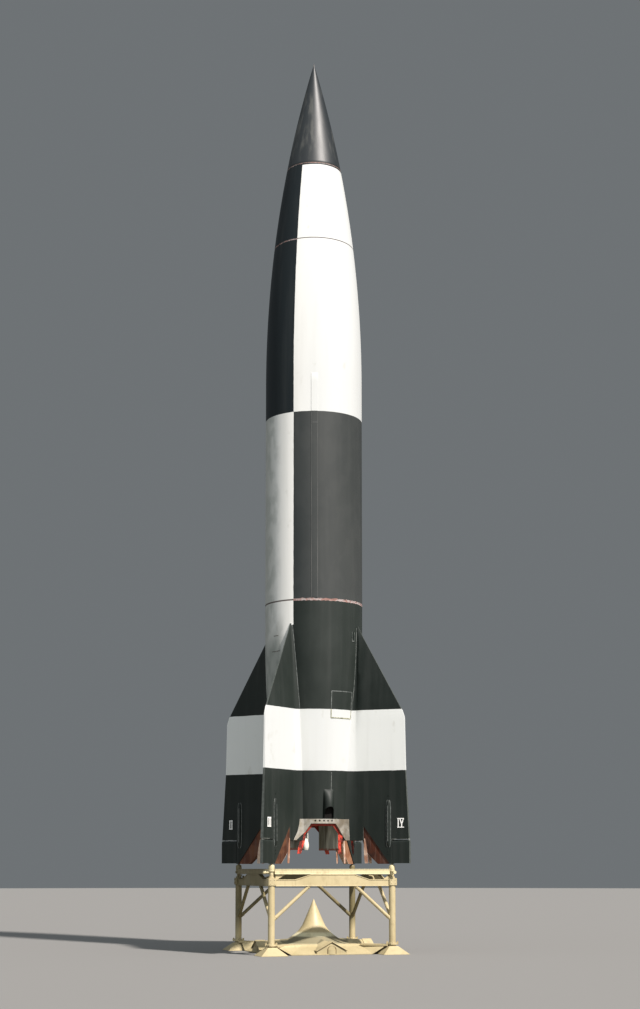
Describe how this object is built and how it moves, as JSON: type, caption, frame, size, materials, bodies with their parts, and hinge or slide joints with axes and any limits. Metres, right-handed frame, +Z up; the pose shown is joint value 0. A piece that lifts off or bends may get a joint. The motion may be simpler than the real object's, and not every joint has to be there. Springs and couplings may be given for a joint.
{
  "type": "liquid-fuelled rocket on launch table",
  "caption": "Tall finned liquid-fuelled rocket in black and white paint, standing on a legged launch table, with swinging air rudders at the fin tips.",
  "frame": {"origin": "on the ground under the rocket's axis", "axes": "+Z up along the rocket's axis, +X through fin IV, +Y through fin I"},
  "size_m": [3.55, 3.55, 15.49],
  "materials": {
    "nose_paint": "semi-gloss black paint, streaked",
    "body_paint": "satin paint in black and white fields",
    "fin_paint": "satin charcoal black paint",
    "arch_silver": "dull silver paint over sheet metal",
    "bracket_grey": "weathered grey primer",
    "engine_steel": "heat-stained steel",
    "table_cream": "satin cream paint"
  },
  "bodies": {
    "airframe": {"nose_cone": "nose_paint", "instrument_section": "body_paint", "tank_section": "body_paint", "cable_cover": "body_paint", "tail_shell": "body_paint", "fin_1": "body_paint", "fin_2": "body_paint", "fin_3": "body_paint", "fin_4": "body_paint", "arch_frame_1": "arch_silver", "arch_frame_2": "arch_silver", "arch_frame_3": "arch_silver", "arch_frame_4": "arch_silver", "vane_bracket_1": "bracket_grey", "vane_bracket_2": "bracket_grey", "vane_bracket_3": "bracket_grey", "vane_bracket_4": "bracket_grey", "exhaust_outlet_1": "fin_paint", "exhaust_outlet_2": "fin_paint", "tail_hatch": "body_paint", "nozzle": "engine_steel", "engine": "engine_steel", "thrust_ring": "engine_steel", "column_1": "table_cream", "column_2": "table_cream", "column_3": "table_cream", "column_4": "table_cream", "foot_pad_1": "table_cream", "foot_pad_2": "table_cream", "foot_pad_3": "table_cream", "foot_pad_4": "table_cream", "jack_1": "table_cream", "jack_2": "table_cream", "jack_3": "table_cream", "jack_4": "table_cream", "side_frame_1": "table_cream", "side_frame_2": "table_cream", "side_frame_3": "table_cream", "side_frame_4": "table_cream", "upper_beam_1": "table_cream", "upper_beam_2": "table_cream", "upper_beam_3": "table_cream", "upper_beam_4": "table_cream", "base_plate": "table_cream", "deflector_cone": "table_cream"},
    "air_rudder_1": {"rudder_1": "fin_paint"},
    "air_rudder_2": {"rudder_2": "fin_paint"},
    "air_rudder_3": {"rudder_3": "fin_paint"},
    "air_rudder_4": {"rudder_4": "fin_paint"}
  },
  "joints": [
    {"name": "rudder_1_hinge", "type": "hinge", "parent": "airframe", "child": "air_rudder_1", "pos_m": [0, 1.62, 1.805], "axis": [0, 1, 0], "range_deg": [-25, 25]},
    {"name": "rudder_2_hinge", "type": "hinge", "parent": "airframe", "child": "air_rudder_2", "pos_m": [-1.62, 0, 1.805], "axis": [-1, 0, 0], "range_deg": [-25, 25]},
    {"name": "rudder_3_hinge", "type": "hinge", "parent": "airframe", "child": "air_rudder_3", "pos_m": [0, -1.62, 1.805], "axis": [0, -1, 0], "range_deg": [-25, 25]},
    {"name": "rudder_4_hinge", "type": "hinge", "parent": "airframe", "child": "air_rudder_4", "pos_m": [1.62, 0, 1.805], "axis": [1, 0, 0], "range_deg": [-25, 25]}
  ]
}
